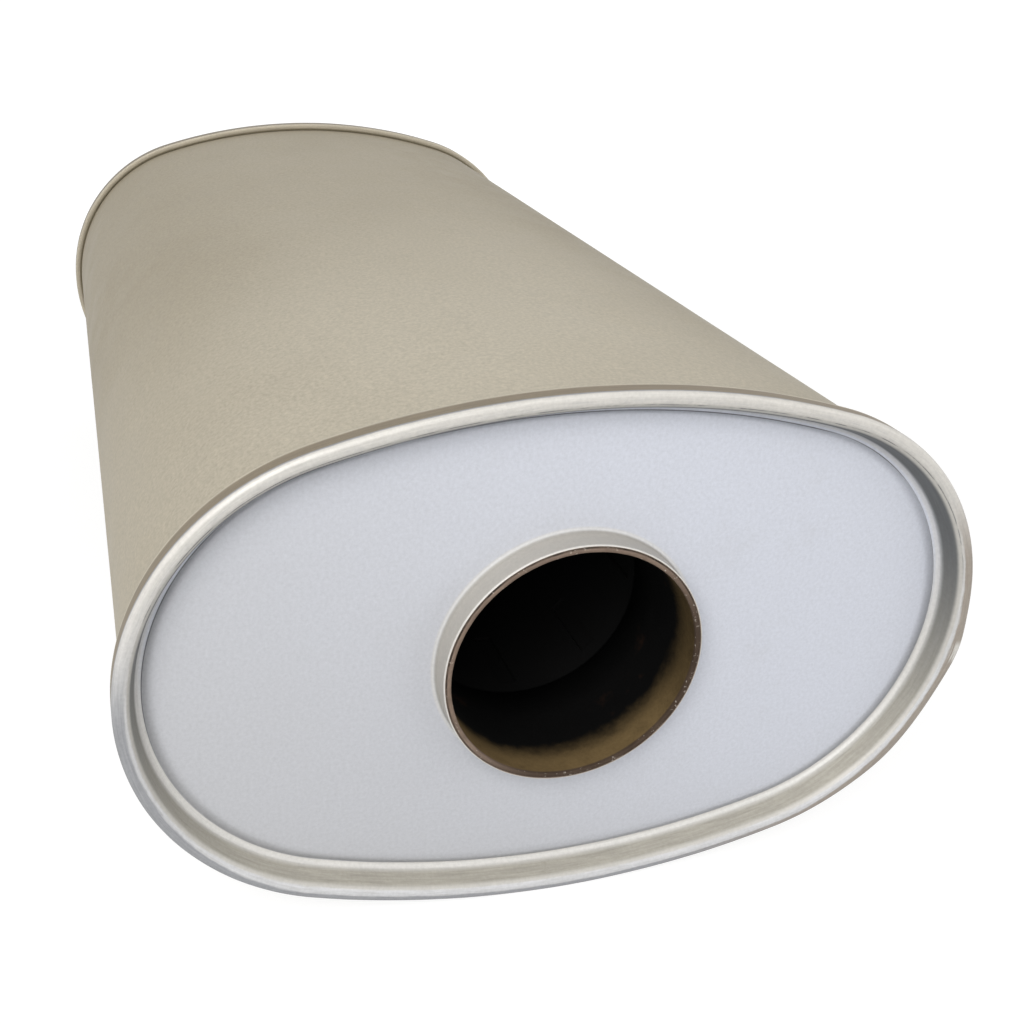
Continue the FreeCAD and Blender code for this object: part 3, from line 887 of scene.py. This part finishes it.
@dataclass
class EndCap:
    """An end cap: the rolled rim of the lock seam, the dished face and the neck's collar."""

    end: End
    oval: Oval
    sheet: float = 1.4 * MM
    seam_gap: float = 0.05 * MM
    crest_outer: float = 2.0 * MM
    crest_flat: float = 1.1 * MM
    seam_depth: float = 9.5 * MM
    hook_gap: float = 0.5 * MM
    wall_angle: float = 14.0
    panel: float = 11.4 * MM
    step: float = 0.4 * MM
    band_width: float = 0.2 * MM
    base_fillet: float = 2.2 * MM
    bore: float = 53.05 * MM
    collar_wall: float = 0.9 * MM
    collar_bend: float = 2.0 * MM
    hem_round: float = 0.7 * MM
    face_lap: float = 1.0 * MM
    lap_drop: float = 0.5 * MM
    lap_gap: float = 0.05 * MM
    columns: int = 420
    face_rows: int = 25
    waviness: float = 0.45 * MM
    wave_scale: float = 17.0
    wave_seed: float = 3.0
    bulge_reach: float = 6.0
    bulges: tuple[tuple[float, float, float], ...] = (
        (0.165, 1.1 * MM, 0.018),
        (0.224, 1.6 * MM, 0.014),
    )

    @property
    def layer(self) -> float:
        """Distance from one layer of the seam to the next."""
        return self.sheet + self.seam_gap

    @property
    def crest_inner(self) -> float:
        """Radius with which the crest turns down to the wall."""
        return 4 * self.layer + self.sheet - self.crest_outer - self.crest_flat

    @property
    def slope(self) -> Plane:
        """Sine and cosine of the wall's angle."""
        angle = math.radians(self.wall_angle)
        return math.sin(angle), math.cos(angle)

    @property
    def fillet_centre(self) -> Plane:
        """Middle of the round between the wall and the band, as inset and depth."""
        lean, rise = self.slope
        turned = self.crest_inner + self.base_fillet
        drop = self.panel + self.step - self.base_fillet
        run = (drop - self.crest_inner + turned * lean) / rise
        return self.crest_outer + self.crest_flat + turned * rise + run * lean, drop

    @property
    def edge(self) -> float:
        """Inset of the flat panel's edge."""
        return self.fillet_centre[0] + self.band_width + self.step

    def section(self) -> list[Plane]:
        """The closed section of the rim, as inset and depth.

        Returns:
            Its points, in metres.
        """
        lean, rise = self.slope
        floor, inner, outer = self.panel + self.step, self.crest_inner, self.crest_outer
        top = (outer + self.crest_flat, inner)
        hook, hook_back = 2 * self.layer, 2 * self.layer + self.sheet
        hook_end = inner + self.sheet + self.hook_gap
        hem, back, soft = self.seam_depth, self.seam_depth - self.sheet, self.hem_round
        points = [(self.edge + self.face_lap, self.panel + self.lap_drop)]
        points += [(self.edge, self.panel + self.lap_gap), (self.edge - self.step, floor)]
        points += arc_points(self.fillet_centre, self.base_fillet, 90, 180 - self.wall_angle, 6)
        points += arc_points(top, inner, -self.wall_angle, -90, 12)
        points += arc_points((outer, outer), outer, -90, -180, 7)
        points += [(0.0, depth * MM) for depth in (4, 6, 8)]
        points += arc_points((soft, hem - soft), soft, 180, 90, 4)
        points += [(hook_back, hem), (hook_back, hook_end), (hook, hook_end), (hook, back)]
        points += [(self.sheet, back), (self.sheet, outer)]
        points += [(outer, self.sheet), (top[0], self.sheet)]
        bend = inner - self.sheet
        head = (top[0] + bend * rise, inner - bend * lean)
        drop = floor + self.sheet - head[1]
        foot = (head[0] + drop * lean / rise, floor + self.sheet)
        return points + [head, foot, (self.edge + self.face_lap, floor + self.sheet)]

    def make_rim(self, tree: Tree, material: Material) -> Item:
        """The rim, carried round the oval.

        Args:
            tree: The sweeping tree.
            material: The finish.

        Returns:
            The rim's object.
        """
        outline = self.oval.points(0.0, self.columns)
        wave = Wave(self.waviness, self.wave_scale, self.wave_seed + self.end.value)
        name = f"{self.end.word}_cap_rim"
        rim = sweep(tree, name, outline, self.section(), material, wave)
        if self.end is End.INLET:
            self.push_out(rim.data)
        return rim

    def push_out(self, mesh: bpy.types.Mesh) -> None:
        """Swell the outer layers of the seam where the rollers left them proud.

        Args:
            mesh: The rim, with its inset and its length along the rail.
        """
        count = len(mesh.vertices)
        points, inset, along = np.empty(count * 3, np.float32), np.empty(count), np.empty(count)
        mesh.vertices.foreach_get("co", points)
        mesh.attributes["inset"].data.foreach_get("value", inset)
        mesh.attributes["along"].data.foreach_get("value", along)
        points = points.reshape(-1, 3)
        middles = np.stack([np.sign(points[:, 0]) * self.oval.reach, 0 * along], 1)
        outwards = points[:, (0, 2)] - middles
        outwards /= np.linalg.norm(outwards, axis=1, keepdims=True)
        share = np.clip(1 - inset / self.bulge_reach, 0, 1)
        for place, height, width in self.bulges:
            swell = height * share * np.exp(-(((along - place) / width) ** 2))
            points[:, (0, 2)] += outwards * swell[:, None]
        mesh.vertices.foreach_set("co", points.ravel())

    def make_face(self, material: Material) -> Item:
        """The dished face with the collar turned out of it, closed all round.

        Args:
            material: The finish.

        Returns:
            The face's object.
        """
        outline = self.oval.points(self.edge, self.columns)
        angles = np.arctan2(outline[:, 1], outline[:, 0])
        circle = np.stack([np.cos(angles), np.sin(angles)], 1)
        bore, outer, turn = self.bore, self.bore + self.collar_wall, self.collar_bend
        foot = outer + turn
        steps = self.face_rows - 1
        front = [(1.0 - row / steps, self.panel) for row in range(self.face_rows)]
        turned = arc_points((foot, self.panel - turn), turn, 90, 180, 6)[1:]
        turned += [(outer, 6 * MM), (outer, 3 * MM)]
        lip = self.collar_wall / 2
        turned += arc_points((bore + lip, lip), lip, 0, -180, 8)
        back_depth = self.panel + self.sheet
        turned += [(bore, back_depth - turn), (bore + turn, back_depth)]
        rings = [(outline * share + circle * foot * (1 - share), depth) for share, depth in front]
        rings += [(circle * radius, depth) for radius, depth in turned]
        rings.append((outline, back_depth))
        drawn = np.concatenate([np.insert(ring, 1, depth, axis=1) for ring, depth in rings])
        gaps = drawn[:, (0, 2)] - np.tile(outline, (len(rings), 1))
        inset = (self.edge + np.linalg.norm(gaps, axis=1)) / MM
        points = self.end.place(drawn)
        values = {"inset": inset, "along": np.zeros(len(points))}
        faces = ring_faces(len(outline), len(rings), True, False)
        return keep_mesh(f"{self.end.word}_cap_face", points, faces, material, values)

    def build(self, tree: Tree, material: Material) -> None:
        """Make the cap and put it in place of its solid.

        Args:
            tree: The sweeping tree.
            material: The finish of every cap.
        """
        rim, face = self.make_rim(tree, material), self.make_face(material)
        place_mesh(rim, self.end)
        for piece in (rim, face):
            settle(piece, f"{self.end.word}_cap")


def place_mesh(piece: Item, end: End) -> None:
    """Move a piece, drawn with Y as the depth, to an end of the muffler.

    Args:
        piece: The piece, with its place in its mesh.
        end: Where it goes.
    """
    mesh = piece.data
    points = np.empty(len(mesh.vertices) * 3, np.float32)
    mesh.vertices.foreach_get("co", points)
    mesh.vertices.foreach_set("co", end.place(points.reshape(-1, 3)).ravel())
    mesh.update()


def settle(piece: Item, node: str) -> None:
    """Fasten a piece to the body, in place of a solid.

    Args:
        piece: The piece.
        node: The solid that it stands for.
    """
    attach(piece, BODY)
    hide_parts(node)
    LOG.info("%s: %d points, for %s", piece.name, len(piece.data.vertices), node)


@dataclass
class Shell:
    """The wrapped skin between the seams, with its lengthwise weld underneath."""

    oval: Oval
    finish: ShellFinish
    weld_finish: PlainFinish = PlainFinish("weld_bead", (0.230, 0.200, 0.170), 900, 0.42, 0.5)
    wave: Wave = Wave(0.3 * MM, 9.0, 11.0)
    outer_inset: float = 4.35 * MM
    sheet: float = 1.4 * MM
    start: float = 5.5 * MM
    columns: int = 360
    rows: int = 90
    weld_width: float = 6.0 * MM
    weld_height: float = 0.8 * MM
    weld_start: float = 10.5 * MM
    ripple_pitch: float = 3.0 * MM
    ripple_seed: int = 5
    ripple_columns: int = 10
    ripple_rings: int = 4

    def build(self, tree: Tree) -> None:
        """Make the skin and put it in place of its solid.

        Args:
            tree: The sweeping tree.
        """
        material = self.finish.make()
        depths = np.linspace(self.start, 2 * HALF_LENGTH - self.start, self.rows)
        outer, inner = self.outer_inset, self.outer_inset + self.sheet
        points = [(outer, depth) for depth in depths]
        points += [(inner, depth) for depth in depths[::-1]]
        outline = self.oval.points(0.0, self.columns)
        skin = sweep(tree, "shell_skin", outline, points, material, self.wave)
        place_mesh(skin, End.INLET)
        settle(skin, "shell")
        self.build_weld(self.weld_finish.make())

    def build_weld(self, material: Material) -> None:
        """Lay the rippled bead of the lengthwise weld along the underside.

        Args:
            material: The weld's finish.
        """
        start = self.weld_start - HALF_LENGTH
        rail = polyline("weld_rail", [(0.0, start), (0.0, -start)], False)
        ripple = self.make_ripple()
        values = {"Ripple": ripple, "Material": material, "Pitch": self.ripple_pitch,
                  "Seed": self.ripple_seed}
        bead = ripple_tree().grow("shell_weld", rail, values)
        bpy.data.objects.remove(ripple)
        underside = self.outer_inset - self.oval.half_height
        bead.data.transform(Matrix.Translation((0.0, 0.0, underside)))
        settle(bead, "shell")

    def make_ripple(self) -> Item:
        """One ripple of the bead: a low lens with its crown down.

        Returns:
            The ripple's object.
        """
        turns = np.linspace(0, 2 * math.pi, self.ripple_columns, endpoint=False)
        heights = np.linspace(-1, 1, self.ripple_rings + 2)[1:-1]
        rows = [(0.0, 0.0, -1.0)]
        for height in heights:
            wide = math.sqrt(1 - height**2)
            rows += [(wide * math.cos(turn), wide * math.sin(turn), height) for turn in turns]
        rows.append((0.0, 0.0, 1.0))
        count, last = len(turns), len(rows) - 1
        sides = ring_faces(count, len(heights), False, False)
        faces = [tuple(1 + number for number in face) for face in sides]
        for column in range(count):
            right = (column + 1) % count
            faces.append((0, 1 + right, 1 + column))
            faces.append((last, last - count + column, last - count + right))
        points = np.array(rows) * (self.weld_width / 2, self.ripple_pitch, self.weld_height)
        mesh = bpy.data.meshes.new("ripple")
        mesh.from_pydata([tuple(row) for row in points], [], faces)
        return show("ripple", mesh)


@dataclass
class Neck:
    """The short pipe in a collar, its cut end a little uneven."""

    end: End
    bore: float = 51.0 * MM
    outer: float = 53.0 * MM
    length: float = 60.0 * MM
    chamfer: float = 0.3 * MM
    unevenness: float = 0.12 * MM
    columns: int = 240

    def build(self, material: Material) -> None:
        """Make the pipe and put it in place of its solid.

        Args:
            material: The finish of both necks.
        """
        proud, cut = -NECK_PROUD, self.chamfer
        inner_end = self.length - NECK_PROUD
        wall = self.outer - self.bore
        section = [(self.outer, inner_end), (self.outer, 20 * MM), (self.outer, proud + cut)]
        section += [(self.outer - cut, proud), (self.bore + wall / 2, proud)]
        section += [(self.bore + cut, proud)]
        section += [(self.bore, proud + cut)] + [(self.bore, d * MM) for d in (2, 5, 10, 20, 40)]
        section += [(self.bore, inner_end)]
        angles = np.linspace(0, 2 * math.pi, self.columns, endpoint=False)
        circle = np.stack([np.cos(angles), np.sin(angles)], 1)
        slow = np.sin(7 * angles) * np.sin(3 * angles + 1)
        uneven = self.unevenness * (slow + np.sin(23 * angles + 2) * 0.5)
        rows = []
        for radius, depth in section:
            row = np.insert(circle * radius, 1, depth, axis=1)
            if depth < cut:
                row[:, 1] += np.abs(uneven)
            rows.append(row)
        points = self.end.place(np.concatenate(rows))
        faces = ring_faces(self.columns, len(section), True, False)
        neck = keep_mesh(f"{self.end.word}_neck_pipe", points, faces, material)
        settle(neck, f"{self.end.word}_neck")


@dataclass
class HiddenPieces:
    """The pieces inside, which keep their solids and get a finish each."""

    sooty: PlainFinish = PlainFinish("sooty_tube", (0.0045, 0.0045, 0.0045), 300, 0.9, 0.0, 0.1)
    steel: PlainFinish = PlainFinish("inner_sheet", (0.38, 0.36, 0.33))
    wire: PlainFinish = PlainFinish("wire_wool", (0.0045, 0.0045, 0.0045), 2500, 0.9, 0.0, 0.1)
    wool: PlainFinish = PlainFinish("glass_wool", (0.66, 0.56, 0.30), 1500, 0.95, 0.0)

    def choose(self, node: str) -> PlainFinish:
        """The finish of a solid, by its name."""
        if "wire_wool" in node:
            return self.wire
        if "wool_pack" in node:
            return self.wool
        if "gas_tube" in node or "plug" in node:
            return self.sooty
        return self.steel

    def dress(self, nodes: dict[str, Item]) -> None:
        """Give each solid its finish.

        Args:
            nodes: The solids by name.
        """
        made: dict[str, Material] = {}
        for name, item in sorted(nodes.items()):
            finish = self.choose(name)
            if finish.name not in made:
                made[finish.name] = finish.make()
            item.data.materials.clear()
            item.data.materials.append(made[finish.name])
            LOG.info("%s: finished as %s", name, finish.name)


# Studio


@dataclass
class Camera:
    """The photograph's point of view."""

    place: Vector = field(default_factory=lambda: Vector((-0.1776, -0.6780, 0.2655)))
    right: Vector = field(default_factory=lambda: Vector((0.9690, -0.2449, 0.0331)))
    ahead: Vector = field(default_factory=lambda: Vector((0.2339, 0.8656, -0.4428)))
    focal_pixels: float = 1240.34
    middle: Plane = (396.44, 519.34)
    film: float = 36.0

    def build(self) -> None:
        """Make the camera and use it."""
        lens = bpy.data.cameras.new("camera")
        lens.sensor_fit = "HORIZONTAL"
        lens.sensor_width = self.film
        lens.lens = self.focal_pixels * self.film / FRAME_PIXELS
        lens.shift_x = (FRAME_PIXELS / 2 - self.middle[0]) / FRAME_PIXELS
        lens.shift_y = (self.middle[1] - FRAME_PIXELS / 2) / FRAME_PIXELS
        lens.clip_start = 0.01
        ahead = self.ahead.normalized()
        right = (self.right - ahead * self.right.dot(ahead)).normalized()
        up = right.cross(ahead)
        turn = Matrix((right, up, -ahead)).transposed().to_4x4()
        item = show("camera", lens)
        item.matrix_world = Matrix.Translation(self.place) @ turn
        bpy.context.scene.camera = item


@dataclass
class Studio:
    """A pale floor, a plain white surround and soft lamps."""

    floor_level: float = -0.1144
    floor_half: float = 12.0
    surround: float = 0.47
    bounce: float = 0.45
    floor_seen: Colour = (0.93, 0.93, 0.93)
    glow: float = 1.12
    glow_near: float = 0.74
    glow_zone: Plane = (0.5, 1.3)
    lamp_tone: Colour = (1.0, 0.99, 0.98)
    lamps: tuple[tuple[str, Colour, float, float, bool], ...] = (
        ("key", (-0.85, -1.45, 1.1), 1.1, 30.0, True),
        ("fill", (1.9, -1.5, 0.8), 1.6, 9.0, True),
        ("side", (2.4, 0.5, 0.1), 1.2, 10.0, False),
        ("back", (0.5, 2.5, 0.1), 1.2, 16.0, False),
    )

    def build_floor(self) -> None:
        """A floor that shows white to the camera and keeps the muffler's shadow."""
        desk = Desk("floor_card")
        grain = desk.noise(3, 2)
        seen = desk.seen()
        colour = desk.blend(seen, (self.bounce, self.bounce, self.bounce), self.floor_seen)
        colour = desk.shade(colour, 0.99 + 0.02 * grain)
        plain = desk.node("ShaderNodeBsdfDiffuse", {}, {"Color": colour}).outputs[0]
        glow = desk.node("ShaderNodeEmission", {}, {"Color": WHITE, "Strength": self.glow})
        across, along = desk.axis("X"), desk.axis("Y")
        far = (across * across + along * along).math("SQRT").rise(*self.glow_zone)
        share = seen * (self.glow_near + (1 - self.glow_near) * far)
        mixed = desk.node("ShaderNodeMixShader", {}, {0: share, 1: plain, 2: glow.outputs[0]})
        desk.node("ShaderNodeOutputMaterial", {}, {"Surface": mixed.outputs[0]})
        half = self.floor_half
        sides = ((-half, -half), (half, -half), (half, half), (-half, half))
        corners = np.array([(*side, self.floor_level) for side in sides])
        floor = keep_mesh("floor", corners, [(0, 1, 2, 3)], desk.material)

    def build_surround(self) -> None:
        """A plain even light from all round, white where the camera looks."""
        world = bpy.data.worlds.new("surround")
        world.use_nodes = True
        world.node_tree.nodes.clear()
        tree = Builder(world.node_tree)
        strength = tree.node("ShaderNodeMix", {"data_type": "FLOAT"},
                             {0: tree.seen(), 2: self.surround, 3: 1.0}).outputs[0]
        ground = tree.node("ShaderNodeBackground", {}, {"Color": WHITE, "Strength": strength})
        tree.node("ShaderNodeOutputWorld", {}, {0: ground.outputs[0]})
        bpy.context.scene.world = world

    def build_lamps(self) -> None:
        """Square soft lamps that face the muffler; only the front ones show in the metal."""
        for name, place, width, power, mirrored in self.lamps:
            lamp = bpy.data.lights.new(name, "AREA")
            lamp.shape = "SQUARE"
            lamp.size = width
            lamp.energy = power
            lamp.color = self.lamp_tone
            item = show(name, lamp)
            item.location = place
            item.visible_glossy = mirrored
            item.rotation_euler = (-Vector(place)).to_track_quat("-Z", "Y").to_euler()

    def build(self) -> None:
        """Make the whole studio."""
        self.build_floor()
        self.build_surround()
        self.build_lamps()
        bpy.context.scene.view_settings.view_transform = "Standard"


def main() -> None:
    """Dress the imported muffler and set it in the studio."""
    logging.basicConfig(level=logging.INFO, format="%(name)s: %(message)s")
    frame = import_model()
    oval = Oval()
    tree = sweep_tree()
    Shell(oval, ShellFinish()).build(tree)
    cap_material, neck_material = CapFinish().make(), NeckFinish().make()
    for end in End:
        EndCap(end, oval).build(tree, cap_material)
        Neck(end).build(neck_material)
    replaced = {"shell"} | {f"{end.word}_{part}" for end in End for part in ("cap", "neck")}
    hidden = {name: item for name, item in frame["nodes"].items() if name not in replaced}
    HiddenPieces().dress(hidden)
    Camera().build()
    Studio().build()


if __name__ == "__main__":
    main()
